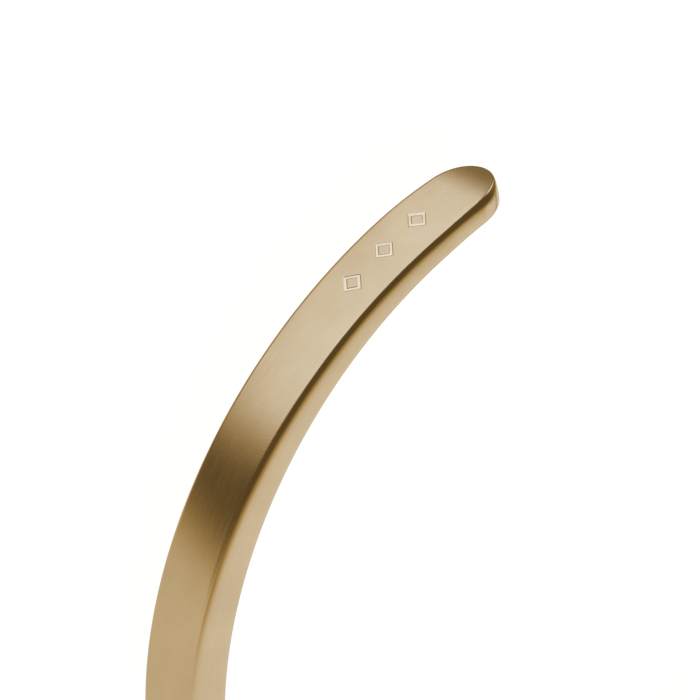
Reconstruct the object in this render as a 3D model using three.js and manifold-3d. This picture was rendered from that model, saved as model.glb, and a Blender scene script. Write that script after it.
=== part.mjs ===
// A slim open cuff bracelet, made of one bar of gold-plated brass bent round into an open ring.
// Its broad face looks outwards, its tips are rounded, and it thins from the back towards the tips.
// It lies on its side: millimetres, +Z up along the axis of the ring, the lower edge face on z = 0,
// the opening between the tips towards -Y, and the origin under the middle of the cuff.
import * as THREE from "three";
import { mergeVertices } from "three/addons/utils/BufferGeometryUtils.js";
import Module from "manifold-3d";

// Sizes of the band
const OUTER_WIDTH = 61; // of the whole cuff, from side to side
const ARM_RADIUS = 29; // of the outer face, on the arms that run from the tips round the sides
const ARM_END_ANGLE = THREE.MathUtils.degToRad(40); // past the widest place, where the flatter back begins
const OPENING = 29; // straight across between the ends of the tips, on the outer face
const BAND_WIDTH = 4.4; // across the broad face, which is the height of the cuff as it lies
const BACK_THICKNESS = 2.9; // from the outer to the inner face, away from the tips
const TIP_THICKNESS = 1.6;
const TAPER_LENGTH = 52; // along the band, from a tip to where the full thickness is reached
const END_LENGTH = 2.5; // of the rounded end of each tip, along the band
const EDGE_RADIUS = 0.45; // of the rounding along every edge

// Sizes of the row of engraved lozenges near the right-hand tip
const MARK_COUNT = 3;
const MARK_FROM_TIP = 5.35; // to the middle of the first lozenge, along the outer face
const MARK_PITCH = 2.55;
const MARK_LENGTH = 1.35; // along the band
const MARK_HEIGHT = 1.6; // across the band
const STROKE_WIDTH = 0.22;
const ENGRAVING_DEPTH = 0.12;
const CUTTER_RISE = 0.3; // of the engraving tool above the outer face

// Fineness of the facets
const FACET_LENGTH = 1.6; // along the band
const END_FACETS = 11; // on each side of a rounded tip
const EDGE_FACETS = 4; // across the rounding of an edge
const LARGEST_EDGE_SHARE = 0.45; // of the tip's thickness that one rounded edge may take

// Arcs of the outer face: the right arm turns about (armCentreX, 0), the back about (0, backCentreY)
const armCentreX = OUTER_WIDTH / 2 - ARM_RADIUS;
const backRadius = ARM_RADIUS + armCentreX / Math.cos(ARM_END_ANGLE);
const backCentreY = (ARM_RADIUS - backRadius) * Math.sin(ARM_END_ANGLE);
const startAngle = Math.asin((OPENING / 2 - armCentreX) / ARM_RADIUS) - Math.PI / 2; // of the right tip
const armLength = ARM_RADIUS * (ARM_END_ANGLE - startAngle);
const bandLength = 2 * armLength + backRadius * (Math.PI - 2 * ARM_END_ANGLE); // on the outer face
const edgeRadius = Math.min(EDGE_RADIUS, LARGEST_EDGE_SHARE * TIP_THICKNESS);

// Thickness of the band at a distance along it, eased between the tip's and the back's.
function thicknessAt(along) {
  const fromTip = THREE.MathUtils.clamp(Math.min(along, bandLength - along) / TAPER_LENGTH, 0, 1);
  const ease = Math.sin((Math.PI / 2) * fromTip) ** 2;
  return TIP_THICKNESS + (BACK_THICKNESS - TIP_THICKNESS) * ease;
}

// Where the outer face is at a distance along the band: its arc's centre and radius, and the angle there.
function placeAt(along) {
  const fromTip = Math.min(along, bandLength - along);
  const onArm = fromTip < armLength;
  const radius = onArm ? ARM_RADIUS : backRadius;
  const turned = onArm
    ? startAngle + fromTip / ARM_RADIUS
    : ARM_END_ANGLE + (fromTip - armLength) / backRadius;
  const centre = onArm ? new THREE.Vector3(armCentreX, 0, 0) : new THREE.Vector3(0, backCentreY, 0);
  const onLeft = along > bandLength / 2;
  if (onLeft) centre.x = -centre.x;
  return { centre, radius, angle: onLeft ? Math.PI - turned : turned };
}

// The point at a distance along the band, a height across it and a depth under its outer face.
function bandPoint(along, across, depth) {
  const { centre, radius, angle } = placeAt(along);
  const reach = radius - depth;
  return [centre.x + reach * Math.cos(angle), centre.y + reach * Math.sin(angle), across];
}

// Stations from tip to tip of the flattened band's outline, moved inwards by an inset.
function outlineStations(inset) {
  const halfWidth = BAND_WIDTH / 2 - inset;
  const endReach = END_LENGTH - inset;
  const quarter = [];
  for (let i = 0; i <= END_FACETS; i++) {
    const turn = ((Math.PI / 2) * i) / END_FACETS;
    quarter.push({ along: END_LENGTH - endReach * Math.cos(turn), half: halfWidth * Math.sin(turn) });
  }
  const straight = bandLength - 2 * END_LENGTH;
  const steps = Math.ceil(straight / FACET_LENGTH);
  const sides = [];
  for (let i = 1; i < steps; i++) {
    sides.push({ along: END_LENGTH + (straight * i) / steps, half: halfWidth });
  }
  const farEnd = quarter.map((p) => ({ along: bandLength - p.along, half: p.half })).reverse();
  return [...quarter, ...sides, ...farEnd];
}

// Levels from the outer face to the inner one, each with its inset and its depth under the outer face.
function sectionLevels() {
  const rounding = [];
  for (let i = 0; i <= EDGE_FACETS; i++) {
    const turn = ((Math.PI / 2) * i) / EDGE_FACETS;
    const inset = edgeRadius * (1 - Math.sin(turn));
    rounding.push({ inset, drop: edgeRadius * (1 - Math.cos(turn)) });
  }
  const outer = rounding.map(({ inset, drop }) => ({ inset, depthAt: () => drop }));
  const inner = rounding.map(({ inset, drop }) => ({
    inset,
    depthAt: (along) => thicknessAt(along) - drop,
  }));
  return [...outer, ...inner.reverse()];
}

// The whole band: a closed loop of points on each level, joined by strips, and a cap on each broad face.
function bandGeometry() {
  const levels = sectionLevels();
  const last = outlineStations(0).length - 1;
  const loopSize = 2 * last;
  const positions = [];
  for (const level of levels) {
    const stations = outlineStations(level.inset);
    for (let i = 0; i < loopSize; i++) {
      const upper = i <= last;
      const { along, half } = stations[upper ? i : loopSize - i];
      positions.push(...bandPoint(along, upper ? half : -half, level.depthAt(along)));
    }
  }
  const index = [];
  const quad = (a, b, c, d) => index.push(a, b, c, a, c, d);
  for (let k = 0; k < levels.length - 1; k++) {
    for (let i = 0; i < loopSize; i++) {
      const next = (i + 1) % loopSize;
      quad(k * loopSize + i, k * loopSize + next, (k + 1) * loopSize + next, (k + 1) * loopSize + i);
    }
  }
  const innerStart = (levels.length - 1) * loopSize;
  for (let i = 0; i < last; i++) {
    const [lowerHere, lowerNext] = [(loopSize - i) % loopSize, loopSize - i - 1];
    quad(lowerHere, lowerNext, i + 1, i);
    quad(innerStart + i, innerStart + i + 1, innerStart + lowerNext, innerStart + lowerHere);
  }
  const geometry = new THREE.BufferGeometry();
  geometry.setAttribute("position", new THREE.Float32BufferAttribute(positions, 3));
  geometry.setIndex(index);
  return geometry;
}

function lozengeOutline(length, height) {
  return [
    new THREE.Vector2(length / 2, 0),
    new THREE.Vector2(0, height / 2),
    new THREE.Vector2(-length / 2, 0),
    new THREE.Vector2(0, -height / 2),
  ];
}

// The engraving tool for one lozenge: its outline as a stroke of even width, standing on the bottom
// of the engraving and reaching above the outer face.
function markCutter(along) {
  const slope = Math.hypot(MARK_LENGTH, MARK_HEIGHT) / MARK_HEIGHT;
  const innerLength = MARK_LENGTH - 2 * STROKE_WIDTH * slope;
  const innerHeight = (innerLength * MARK_HEIGHT) / MARK_LENGTH;
  const shape = new THREE.Shape(lozengeOutline(MARK_LENGTH, MARK_HEIGHT));
  shape.holes.push(new THREE.Path(lozengeOutline(innerLength, innerHeight)));
  const cutter = new THREE.ExtrudeGeometry(shape, {
    depth: ENGRAVING_DEPTH + CUTTER_RISE,
    bevelEnabled: false,
  });
  const { centre, radius, angle } = placeAt(along);
  const outwards = new THREE.Vector3(Math.cos(angle), Math.sin(angle), 0);
  const lengthwise = new THREE.Vector3(-Math.sin(angle), Math.cos(angle), 0);
  const upwards = new THREE.Vector3(0, 0, 1);
  const placing = new THREE.Matrix4().makeBasis(lengthwise, upwards, outwards);
  placing.setPosition(centre.addScaledVector(outwards, radius - ENGRAVING_DEPTH));
  return cutter.applyMatrix4(placing);
}

const wasm = await Module();
wasm.setup();

function toSolid(geometry) {
  const bare = geometry.clone();
  bare.deleteAttribute("normal");
  bare.deleteAttribute("uv");
  const merged = mergeVertices(bare);
  return new wasm.Manifold(
    new wasm.Mesh({
      numProp: 3,
      vertProperties: merged.attributes.position.array,
      triVerts: new Uint32Array(merged.index.array),
    }),
  );
}

function toGeometry(solid) {
  const { vertProperties, triVerts } = solid.getMesh();
  const geometry = new THREE.BufferGeometry();
  geometry.setAttribute("position", new THREE.BufferAttribute(vertProperties, 3));
  geometry.setIndex(new THREE.BufferAttribute(triVerts, 1));
  geometry.computeVertexNormals();
  return geometry;
}

function engravedBand() {
  let band = toSolid(bandGeometry());
  for (let i = 0; i < MARK_COUNT; i++) {
    band = band.subtract(toSolid(markCutter(MARK_FROM_TIP + i * MARK_PITCH)));
  }
  return toGeometry(band);
}

const satinGold = new THREE.MeshStandardMaterial({ color: 0xcdb68c, roughness: 0.34, metalness: 1 });

const cuffBand = new THREE.Mesh(engravedBand(), satinGold);
cuffBand.name = "cuff_band";
cuffBand.geometry.computeBoundingBox();
const middle = cuffBand.geometry.boundingBox.getCenter(new THREE.Vector3());
cuffBand.position.set(-middle.x, -middle.y, BAND_WIDTH / 2);

const cuff = new THREE.Group();
cuff.name = "cuff_bracelet";
cuff.add(cuffBand);

export default cuff;
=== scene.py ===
# A slim satin gold cuff bracelet that lies on its side on a pale floor, seen close at one rounded tip.
import math

import bpy
import bmesh
import numpy as np
from mathutils import Matrix, Vector


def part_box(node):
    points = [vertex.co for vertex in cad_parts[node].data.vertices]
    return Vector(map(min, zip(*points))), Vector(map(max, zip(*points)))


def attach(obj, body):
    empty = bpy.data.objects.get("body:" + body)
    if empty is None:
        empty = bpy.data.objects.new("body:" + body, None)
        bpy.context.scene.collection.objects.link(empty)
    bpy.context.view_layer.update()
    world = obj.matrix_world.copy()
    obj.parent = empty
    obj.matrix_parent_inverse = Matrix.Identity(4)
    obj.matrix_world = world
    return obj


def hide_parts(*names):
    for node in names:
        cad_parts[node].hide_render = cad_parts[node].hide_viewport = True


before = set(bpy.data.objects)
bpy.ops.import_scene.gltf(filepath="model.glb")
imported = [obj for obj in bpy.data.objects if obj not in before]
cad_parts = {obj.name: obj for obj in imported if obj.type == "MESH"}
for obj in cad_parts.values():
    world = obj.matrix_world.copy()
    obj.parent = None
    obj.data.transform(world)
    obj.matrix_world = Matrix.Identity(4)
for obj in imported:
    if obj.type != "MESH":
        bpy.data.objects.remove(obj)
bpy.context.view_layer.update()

MM = 0.001

# Sizes of the band, in millimetres, the same as the solid's
BAND_NODE = "cuff_band"
BAND_LOW, BAND_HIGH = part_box(BAND_NODE)
OUTER_WIDTH = (BAND_HIGH.x - BAND_LOW.x) / MM
BAND_WIDTH = (BAND_HIGH.z - BAND_LOW.z) / MM
ARM_RADIUS = 29.0  # of the outer face, on the arms that run from the tips round the sides
ARM_END_ANGLE = math.radians(40)  # past the widest place, where the flatter back begins
OPENING = 29.0  # straight across between the ends of the tips, on the outer face
BACK_THICKNESS = 2.9
TIP_THICKNESS = 1.6
TAPER_LENGTH = 52.0  # along the band, from a tip to where the full thickness is reached
END_LENGTH = 2.5  # of the rounded end of each tip, along the band

# Finer forms of the band that the solid leaves out, in millimetres
TIP_NARROWING = 0.12  # of each half of the band's width, at a tip
NARROWING_STRETCH = (1.5, 6.0)  # from a tip, where the narrowing fades out
EDGE_REACH = 0.38  # of the rounding along every edge, on the broad faces
OUTER_EDGE_DEPTH = 0.80  # of the outer face's rounding, on the edge faces
INNER_EDGE_DEPTH = 0.45  # of the inner face's rounding, on the edge faces
EDGE_FULLNESS = 3.0  # 2 is a plain arc, and more is fuller at the corner
END_FULLNESS = 2.0  # of the outer rounding at a tip
END_DEEPENING = 0.20  # of the outer rounding at a tip, as a share of its depth elsewhere
END_STRETCH = 1.6 * END_LENGTH  # from a tip, where that fullness and that deepening have faded out
END_TIGHTNESS = 0.35  # of the rounding's reach at a tip, as a share of its reach elsewhere
CROWN = 0.06  # of the outer face, from its edges to its middle
EDGE_CROWN = 0.03  # of the edge faces, from their rims to their middle
DOME_DROP = 0.12  # of the outer face at a tip
DOME_LENGTH = 2.8  # from a tip, where the drop begins

# The row of engraved lozenges on the outer face, in millimetres
MARK_COUNT = 3
MARK_FROM_TIP = 5.35  # to the middle of the first lozenge, along the outer face
MARK_PITCH = 2.55
MARK_LENGTH = 1.35  # along the band
MARK_HEIGHT = 1.6  # across the band
STROKE_WIDTH = 0.22
ENGRAVING_DEPTH = 0.03  # shallower than the solid's, because the strokes show by their brightness
ENGRAVING_WALL = 0.05  # width of the slope between the face and the bottom of a stroke

# Fineness of the mesh, in millimetres along and across, and in steps round curves
END_STEPS = 30
EDGE_STEPS = 10
EDGE_SPACING = 1.3  # above 1 the steps are closer together by the broad faces
PLAIN_STEP = 0.5
MARK_STEP = 0.025
MARK_MARGIN = 0.25  # of the fine mesh round the lozenges
RIM_SHARES = np.array([1.0, 0.985, 0.93, 0.85, 0.72])  # of the half width, for rows beside the fine mesh
INNER_SHARES = (1.0, 0.985, 0.5, 0.0, -0.5, -0.985, -1.0)  # the same, on the inner face
WALL_SHARES = (0.03, 0.3, 0.7, 0.97)  # of the way down the edge faces, between the roundings
SEAM_DISTANCE = 0.0001 * MM

# Arcs of the outer face: an arm on each side, and a flatter back between them
ARM_CENTRE_X = OUTER_WIDTH / 2 - ARM_RADIUS
BACK_RADIUS = ARM_RADIUS + ARM_CENTRE_X / math.cos(ARM_END_ANGLE)
BACK_CENTRE_Y = (ARM_RADIUS - BACK_RADIUS) * math.sin(ARM_END_ANGLE)
START_ANGLE = math.asin((OPENING / 2 - ARM_CENTRE_X) / ARM_RADIUS) - math.pi / 2  # of the right tip
ARM_LENGTH = ARM_RADIUS * (ARM_END_ANGLE - START_ANGLE)
BAND_LENGTH = 2 * ARM_LENGTH + BACK_RADIUS * (math.pi - 2 * ARM_END_ANGLE)
ARM_CENTRE_Y = BAND_HIGH.y / MM - BACK_CENTRE_Y - BACK_RADIUS
HALF_WIDTH = BAND_WIDTH / 2

# The finish: each noise has its scale, detail and roughness
GOLD_DEEP = (0.74, 0.605, 0.42)
GOLD_PALE = (0.79, 0.66, 0.475)
ENGRAVED_GOLD = (1.0, 0.96, 0.88)
CLOUDS = (260, 3, 0.55)  # the slow change between the two golds
CLOUD_RANGE = (0.35, 0.65)
BRUSHING = (900, 4, 0.6)
BRUSHING_STRETCH = (0.5, 9, 1)  # finer across the band than along it
BRUSHING_RANGE = (0.3, 0.7)
GRAIN = (9000, 3, 0.6)
SATIN_ROUGHNESS = (0.18, 0.24)
EDGE_POLISH = 0.08  # less roughness on the rounded edges
ENGRAVED_ROUGHNESS = 0.32
BRUSHING_RELIEF = 0.6  # share of the relief
GRAIN_RELIEF = 0.4
RELIEF_DEPTH = 0.00002
RELIEF_STRENGTH = 0.35

# The camera
LENS = 149.9
SENSOR_WIDTH = 36
CAMERA_PLACE = Vector((126.078, -76.133, 108.617)) * MM
CAMERA_AIM = Vector((21.868, -17.533, 2.177)) * MM
CAMERA_ROLL = math.radians(122.92)  # the picture hangs the cuff by its back, so the camera is turned
CLIP_START, CLIP_END = 0.005, 10

# The floor, which glows a little so that it stays pale
FLOOR_HALF = 0.9
FLOOR_COLOUR = (0.3, 0.3, 0.31, 1)
FLOOR_ROUGHNESS = 0.9
FLOOR_SPECULAR = 0.1
FLOOR_GLOW = 0.95

# The lights of the studio. A heading is an azimuth and a rise in degrees. Of each other row, a light eases
# between the first two numbers, measured along its direction, and from the third number to the fourth
# where there are four, and otherwise from 0 to 1. Rows of three numbers are directions.
STUDIO_STRENGTH = 0.9
PLUS_X, PLUS_Y, PLUS_Z = (1, 0, 0), (0, 1, 0), (0, 0, 1)
PANEL_HEADING = (-87, -28)  # the middle of the large round panel on the side of the opening
PANEL_EDGE = (0.40, 0.62)
PANEL_SIDE = (0.97, 0.0, -0.2)  # the panel is cut off straight on its left
PANEL_SIDE_EDGE = (-0.08, 0.075)
PANEL_FOOT = (-1.10, -0.62)  # along +Z
LOW_SIDE = (-0.191, 0.982, 0.0)  # the light behind the cuff, up to its top
LOW_EDGE = (-0.07, 0.17)
LOW_TOP = (0.9, 0.5)  # along +Z
HIGH_SIDE = (-0.165, 0.986, -0.20)  # the softer light behind the cuff, from its foot upwards
HIGH_EDGE = (-0.25, 0.40)
HIGH_FOOT = (-0.35, 0.05)  # along +Z
BACK_LEVEL = (0.3, -0.8, 0.65, 0.84)  # along +X: both are brighter on the left
BACK_START = (-0.2, 0.12)  # along +Y
GAP_HEADING = (-140, -42)  # a faint glow between the panel and the lights behind
GAP_LIGHT = (0.2, 0.8, 0.0, 0.13)
LAMP_HEADING = (-116, -4)  # a small round lamp, left of the panel
LAMP_EDGE = (0.93, 0.98)
STUDIO_TINTS = (  # from the dark to full light
    (0.0, (0.13, 0.087, 0.033)),
    (0.38, (0.52, 0.355, 0.12)),
    (0.52, (0.63, 0.48, 0.225)),
    (0.66, (0.75, 0.66, 0.49)),
    (1.0, (1.0, 1.0, 1.0)),
)


# The band

def smooth(low, high, x):
    """0 below low, 1 above high, eased between."""
    t = np.clip((x - low) / (high - low), 0.0, 1.0)
    return t * t * (3 - 2 * t)


def from_nearer_tip(along):
    return np.minimum(along, BAND_LENGTH - along)


def thickness(along):
    """From the outer to the inner face, thinning towards both tips."""
    share = np.clip(from_nearer_tip(along) / TAPER_LENGTH, 0.0, 1.0)
    return TIP_THICKNESS + (BACK_THICKNESS - TIP_THICKNESS) * np.sin(math.pi / 2 * share) ** 2


def narrowing(along):
    """How much less than half the band's width its outline reaches, near the tips."""
    return TIP_NARROWING * (1 - smooth(*NARROWING_STRETCH, from_nearer_tip(along)))


def stations(inset):
    """Distances along the band and half widths of its flattened outline, moved inwards by inset."""
    turn = np.linspace(0, math.pi / 2, END_STEPS + 1)
    end_inset = inset * (END_TIGHTNESS + (1 - END_TIGHTNESS) * np.sin(turn) ** 2)
    end = END_LENGTH - (END_LENGTH - end_inset) * np.cos(turn)
    mark_low = MARK_FROM_TIP - MARK_LENGTH / 2 - MARK_MARGIN
    mark_high = MARK_FROM_TIP + (MARK_COUNT - 1) * MARK_PITCH + MARK_LENGTH / 2 + MARK_MARGIN
    stretches = [
        (END_LENGTH, mark_low, PLAIN_STEP),
        (mark_low, mark_high, MARK_STEP),
        (mark_high, BAND_LENGTH - END_LENGTH, PLAIN_STEP),
    ]
    straight = [np.linspace(a, b, math.ceil((b - a) / step) + 1)[1:] for a, b, step in stretches]
    straight = np.concatenate(straight)[:-1]
    along = np.concatenate([end, straight, (BAND_LENGTH - end)[::-1]])
    quarter = (HALF_WIDTH - end_inset - narrowing(end)) * np.sin(turn)
    half = np.concatenate([quarter, HALF_WIDTH - inset - narrowing(straight), quarter[::-1]])
    return along, half


def outer_shares():
    """Shares of the half width where the outer face has a row of points, close together at the marks."""
    half = HALF_WIDTH - EDGE_REACH - EDGE_CROWN
    reach = MARK_HEIGHT / 2 + MARK_MARGIN / 2
    middle = np.linspace(reach, -reach, math.ceil(2 * reach / MARK_STEP) + 1) / half
    rim = RIM_SHARES[RIM_SHARES > middle[0]]
    return np.concatenate([rim, middle, -rim[::-1]])


def engraving(along, across):
    """How deep in the engraving each point of the outer face lies, from 0 on the face to 1 at the bottom."""
    slant = math.hypot(MARK_LENGTH, MARK_HEIGHT) / 2
    scale = MARK_LENGTH / 2 * MARK_HEIGHT / 2 / slant
    deepest = np.zeros_like(along)
    for i in range(MARK_COUNT):
        off = np.abs(along - MARK_FROM_TIP - i * MARK_PITCH) / (MARK_LENGTH / 2)
        outside = (off + np.abs(across) / (MARK_HEIGHT / 2) - 1) * scale
        from_stroke = np.abs(outside + STROKE_WIDTH / 2)
        inside = 1 - smooth(STROKE_WIDTH / 2 - ENGRAVING_WALL, STROKE_WIDTH / 2, from_stroke)
        deepest = np.maximum(deepest, inside)
    return deepest


def bend(along, across, depth):
    """Points of the bent band, in metres, from distances along and across it and depth under its face."""
    from_tip = from_nearer_tip(along)
    on_arm = from_tip < ARM_LENGTH
    arm_angle = START_ANGLE + from_tip / ARM_RADIUS
    angle = np.where(on_arm, arm_angle, ARM_END_ANGLE + (from_tip - ARM_LENGTH) / BACK_RADIUS)
    radius = np.where(on_arm, ARM_RADIUS, BACK_RADIUS) - depth
    x = np.where(on_arm, ARM_CENTRE_X, 0.0) + radius * np.cos(angle)
    y = np.where(on_arm, 0.0, BACK_CENTRE_Y) + radius * np.sin(angle) + ARM_CENTRE_Y
    x = np.where(along > BAND_LENGTH / 2, -x, x)
    return np.stack([x, y, across + BAND_WIDTH / 2], axis=-1) * MM


class Patches:
    """Grids of points that are collected into one mesh."""

    def __init__(self):
        self.points, self.faces, self.flat, self.engraved, self.edge = [], [], [], [], []
        self.count = 0

    def add(self, points, flat, engraved, edge, flip):
        """Adds a grid with its place on the flattened band, and how engraved and how rounded it is."""
        rows, columns = points.shape[:2]
        index = np.arange(rows * columns).reshape(rows, columns) + self.count
        corners = [index[:-1, :-1], index[1:, :-1], index[1:, 1:], index[:-1, 1:]]
        quads = np.stack([c.ravel() for c in corners], axis=-1)
        self.faces.append(quads[:, ::-1] if flip else quads)
        self.points.append(points.reshape(-1, 3))
        self.flat.append(flat.reshape(-1, 2))
        self.engraved.append(np.broadcast_to(engraved, (rows, columns)).ravel())
        self.edge.append(np.broadcast_to(edge, (rows, columns)).ravel())
        self.count += rows * columns

    def mesh(self, name):
        points, faces = np.concatenate(self.points), np.concatenate(self.faces)
        flat = np.concatenate(self.flat)
        mesh = bpy.data.meshes.new(name)
        mesh.from_pydata(points.tolist(), [], faces.tolist())
        layer = mesh.uv_layers.new(name="flattened")
        layer.data.foreach_set("uv", flat[faces.ravel()].ravel().astype(np.float32))
        for label, values in (("engraved", self.engraved), ("edge", self.edge)):
            attribute = mesh.attributes.new(label, "FLOAT", "POINT")
            attribute.data.foreach_set("value", np.concatenate(values).astype(np.float32))
        return mesh


def sew(mesh, distance):
    """Merges the points that the patches share, and drops what collapses at the tips."""
    work = bmesh.new()
    work.from_mesh(mesh)
    bmesh.ops.remove_doubles(work, verts=work.verts, dist=distance)
    bmesh.ops.dissolve_degenerate(work, dist=distance, edges=work.edges)
    bmesh.ops.recalc_face_normals(work, faces=work.faces)
    work.to_mesh(mesh)
    work.free()
    mesh.shade_smooth()


def crown(along, across):
    """How far the outer face lies under its mean height: crowned across the band, and domed at the tips."""
    dome = np.clip(1 - from_nearer_tip(along) / DOME_LENGTH, 0.0, 1.0) ** 2
    return CROWN * ((across / HALF_WIDTH) ** 2 - 0.5) + DOME_DROP * dome


def face_patch(patches, shares, on_inner_face):
    """A broad face. On the flattened band the inner face lies beside the outer one."""
    along, half = stations(EDGE_REACH + EDGE_CROWN)
    along = np.repeat(along[:, None], len(shares), axis=1)
    across = half[:, None] * np.asarray(shares)[None, :]
    if on_inner_face:
        engraved, depth = 0.0, thickness(along)
    else:
        engraved = engraving(along, across)
        depth = ENGRAVING_DEPTH * engraved + crown(along, across)
    flat = np.stack([along, across + on_inner_face * 2 * BAND_WIDTH], axis=-1) * MM
    patches.add(bend(along, across, depth), flat, engraved, 0.0, on_inner_face)


def side_levels():
    """Of each level from the outer to the inner face: its inset, the turn of the outer rounding it has
    done, its shares of the inner rounding's depth and of the thickness, and its weight as an edge."""
    turn = math.pi / 2 * np.linspace(0, 1, EDGE_STEPS + 1) ** EDGE_SPACING
    inset = EDGE_REACH * (1 - np.sin(turn) ** (2 / EDGE_FULLNESS))
    drop = 1 - np.cos(turn) ** (2 / EDGE_FULLNESS)
    weight = np.sin(2 * turn)
    levels = [(i, t, 0.0, 0.0, w) for i, t, w in zip(inset, turn, weight)]
    levels += [(0.0, math.pi / 2, s, s, 0.0) for s in WALL_SHARES]
    inner = zip(inset[::-1], drop[::-1], weight[::-1])
    levels += [(i, math.pi / 2, d, 1.0, w) for i, d, w in inner]
    return levels


def outer_rounding(along, turn):
    """How deep the outer rounding has gone after a turn, deeper and rounder round the ends of the tips."""
    from_end = smooth(0, END_STRETCH, from_nearer_tip(along))
    fullness = END_FULLNESS + (EDGE_FULLNESS - END_FULLNESS) * from_end
    deepest = OUTER_EDGE_DEPTH * (1 + END_DEEPENING * (1 - from_end))
    return deepest * (1 - max(math.cos(turn), 0.0) ** (2 / fullness))


def side_patches(patches):
    """The upper and the lower edge face with their roundings, each from tip to tip."""
    levels = side_levels()
    for side in (1, -1):
        points, flat, edge = [], [], []
        travelled = HALF_WIDTH - EDGE_REACH - EDGE_CROWN
        last_section = None
        for inset, turn, inner, share, weight in levels:
            along, half = stations(inset)
            depth = outer_rounding(along, turn) * (1 - share)
            depth = depth + share * thickness(along) - inner * INNER_EDGE_DEPTH
            from_middle = (2 * depth / thickness(along) - 1) ** 2
            crowned_along, crowned_half = stations(inset + EDGE_CROWN)
            along = along + (crowned_along - along) * from_middle
            half = half + (crowned_half - half) * from_middle
            depth = depth + (1 - share) * crown(along, half)
            section = np.array([HALF_WIDTH - inset, np.median(depth)])
            if last_section is not None:
                travelled += np.linalg.norm(section - last_section)
            last_section = section
            points.append(bend(along, side * half, depth))
            flat.append(np.stack([along, np.full_like(along, side * travelled)], axis=-1) * MM)
            edge.append(np.full_like(along, weight))
        patches.add(np.stack(points), np.stack(flat), 0.0, np.stack(edge), side > 0)


def make_band():
    patches = Patches()
    face_patch(patches, outer_shares(), False)
    face_patch(patches, INNER_SHARES, True)
    side_patches(patches)
    mesh = patches.mesh("satin_band")
    sew(mesh, SEAM_DISTANCE)
    band = bpy.data.objects.new("satin_band", mesh)
    bpy.context.scene.collection.objects.link(band)
    return band


# Nodes that the finish and the studio share

def math_node(tree, operation, a, b):
    node = tree.nodes.new("ShaderNodeMath")
    node.operation = operation
    for socket, value in zip(node.inputs, (a, b)):
        if isinstance(value, (int, float)):
            socket.default_value = value
        else:
            tree.links.new(value, socket)
    return node.outputs[0]


def map_range(tree, value, low, high, out_low=0.0, out_high=1.0, interpolation="LINEAR"):
    node = tree.nodes.new("ShaderNodeMapRange")
    node.interpolation_type = interpolation
    tree.links.new(value, node.inputs["Value"])
    for name, number in (("From Min", low), ("From Max", high), ("To Min", out_low), ("To Max", out_high)):
        node.inputs[name].default_value = number
    return node.outputs["Result"]


# The finish

def satin_gold():
    material = bpy.data.materials.new("satin_gold")
    material.use_nodes = True
    tree = material.node_tree
    nodes, links = tree.nodes, tree.links
    shader = nodes["Principled BSDF"]
    shader.inputs["Metallic"].default_value = 1.0

    def noise(scale, detail, roughness, stretch=(1, 1, 1)):
        place = nodes.new("ShaderNodeUVMap")
        place.uv_map = "flattened"
        shape = nodes.new("ShaderNodeMapping")
        shape.inputs["Scale"].default_value = stretch
        links.new(place.outputs[0], shape.inputs["Vector"])
        node = nodes.new("ShaderNodeTexNoise")
        node.inputs["Scale"].default_value = scale
        node.inputs["Detail"].default_value = detail
        node.inputs["Roughness"].default_value = roughness
        links.new(shape.outputs[0], node.inputs["Vector"])
        return node.outputs["Fac"]

    def attribute(name):
        node = nodes.new("ShaderNodeAttribute")
        node.attribute_name = name
        return node.outputs["Fac"]

    def mixed(factor, a, b):
        """Mixes two colours. The colour sockets of this node share their names with its other ones."""
        node = nodes.new("ShaderNodeMix")
        node.data_type = "RGBA"
        links.new(factor, node.inputs["Factor"])
        for socket, value in ((node.inputs[6], a), (node.inputs[7], b)):
            if isinstance(value, tuple):
                socket.default_value = (*value, 1)
            else:
                links.new(value, socket)
        return node.outputs[2]

    clouds = noise(*CLOUDS)
    brushing = noise(*BRUSHING, BRUSHING_STRETCH)
    grain = noise(*GRAIN)
    gold = mixed(map_range(tree, clouds, *CLOUD_RANGE), GOLD_DEEP, GOLD_PALE)
    colour = mixed(attribute("engraved"), gold, ENGRAVED_GOLD)
    links.new(colour, shader.inputs["Base Color"])

    satin = map_range(tree, brushing, *BRUSHING_RANGE, *SATIN_ROUGHNESS)
    polish = math_node(tree, "MULTIPLY", attribute("edge"), EDGE_POLISH)
    engraved = math_node(tree, "MULTIPLY", attribute("engraved"), ENGRAVED_ROUGHNESS)
    rough = math_node(tree, "MAXIMUM", math_node(tree, "SUBTRACT", satin, polish), engraved)
    links.new(rough, shader.inputs["Roughness"])

    brushed = math_node(tree, "MULTIPLY", brushing, BRUSHING_RELIEF)
    relief = math_node(tree, "ADD", brushed, math_node(tree, "MULTIPLY", grain, GRAIN_RELIEF))
    bump = nodes.new("ShaderNodeBump")
    bump.inputs["Strength"].default_value = RELIEF_STRENGTH
    bump.inputs["Distance"].default_value = RELIEF_DEPTH
    links.new(relief, bump.inputs["Height"])
    links.new(bump.outputs[0], shader.inputs["Normal"])
    return material


# The studio

def make_camera():
    data = bpy.data.cameras.new("camera")
    data.lens = LENS
    data.sensor_width = SENSOR_WIDTH
    data.clip_start = CLIP_START
    data.clip_end = CLIP_END
    camera = bpy.data.objects.new("camera", data)
    bpy.context.scene.collection.objects.link(camera)
    look = (CAMERA_AIM - CAMERA_PLACE).to_track_quat("-Z", "Y").to_matrix().to_4x4()
    camera.matrix_world = Matrix.Translation(CAMERA_PLACE) @ look @ Matrix.Rotation(CAMERA_ROLL, 4, "Z")
    bpy.context.scene.camera = camera


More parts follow.
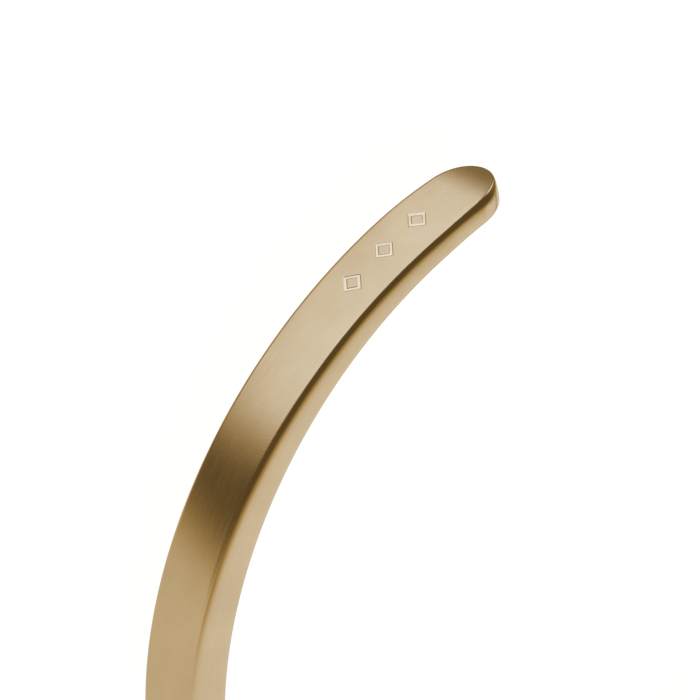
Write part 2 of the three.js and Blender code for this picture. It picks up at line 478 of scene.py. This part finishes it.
def make_floor():
    mesh = bpy.data.meshes.new("floor")
    corners = [(x * FLOOR_HALF, y * FLOOR_HALF, 0) for x, y in ((-1, -1), (1, -1), (1, 1), (-1, 1))]
    mesh.from_pydata(corners, [], [(0, 1, 2, 3)])
    floor = bpy.data.objects.new("floor", mesh)
    bpy.context.scene.collection.objects.link(floor)
    material = bpy.data.materials.new("pale_floor")
    material.use_nodes = True
    shader = material.node_tree.nodes["Principled BSDF"]
    shader.inputs["Base Color"].default_value = FLOOR_COLOUR
    shader.inputs["Roughness"].default_value = FLOOR_ROUGHNESS
    shader.inputs["Specular IOR Level"].default_value = FLOOR_SPECULAR
    shader.inputs["Emission Color"].default_value = (1, 1, 1, 1)
    shader.inputs["Emission Strength"].default_value = FLOOR_GLOW
    mesh.materials.append(material)
    floor.visible_glossy = False


def heading(azimuth, rise):
    """The direction at an azimuth from +X and a height over the horizon, in degrees."""
    azimuth, rise = math.radians(azimuth), math.radians(rise)
    return (math.cos(rise) * math.cos(azimuth), math.cos(rise) * math.sin(azimuth), math.sin(rise))


def make_world():
    """Soft white light from a large panel and a small lamp before the cuff and from behind it, with a
    darker, warm gap between them."""
    world = bpy.data.worlds.new("studio")
    bpy.context.scene.world = world
    world.use_nodes = True
    tree = world.node_tree
    background = tree.nodes["Background"]
    place = tree.nodes.new("ShaderNodeTexCoord").outputs["Generated"]

    def ramp(direction, low, high, out_low=0.0, out_high=1.0):
        node = tree.nodes.new("ShaderNodeVectorMath")
        node.operation = "DOT_PRODUCT"
        tree.links.new(place, node.inputs[0])
        node.inputs[1].default_value = direction
        return map_range(tree, node.outputs["Value"], low, high, out_low, out_high, "SMOOTHSTEP")

    def times(a, b):
        return math_node(tree, "MULTIPLY", a, b)

    def brighter(a, b):
        return math_node(tree, "MAXIMUM", a, b)

    panel = times(ramp(heading(*PANEL_HEADING), *PANEL_EDGE), ramp(PANEL_SIDE, *PANEL_SIDE_EDGE))
    panel = times(panel, ramp(PLUS_Z, *PANEL_FOOT))
    low = times(ramp(LOW_SIDE, *LOW_EDGE), ramp(PLUS_Z, *LOW_TOP))
    high = times(ramp(HIGH_SIDE, *HIGH_EDGE), ramp(PLUS_Z, *HIGH_FOOT))
    back = times(brighter(low, high), ramp(PLUS_X, *BACK_LEVEL))
    back = times(back, ramp(PLUS_Y, *BACK_START))
    gap = ramp(heading(*GAP_HEADING), *GAP_LIGHT)
    lamp = ramp(heading(*LAMP_HEADING), *LAMP_EDGE)
    light = brighter(brighter(panel, back), brighter(gap, lamp))

    tint = tree.nodes.new("ShaderNodeValToRGB")
    tree.links.new(light, tint.inputs[0])
    stops = tint.color_ramp.elements
    while len(stops) < len(STUDIO_TINTS):
        stops.new(0.5)
    for stop, (position, colour) in zip(stops, STUDIO_TINTS):
        stop.position = position
        stop.color = (*colour, 1)
    tree.links.new(tint.outputs[0], background.inputs["Color"])
    background.inputs["Strength"].default_value = STUDIO_STRENGTH


band = make_band()
band.data.materials.append(satin_gold())
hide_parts(BAND_NODE)
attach(band, "root")

make_camera()
make_floor()
make_world()
bpy.context.scene.view_settings.view_transform = "Standard"
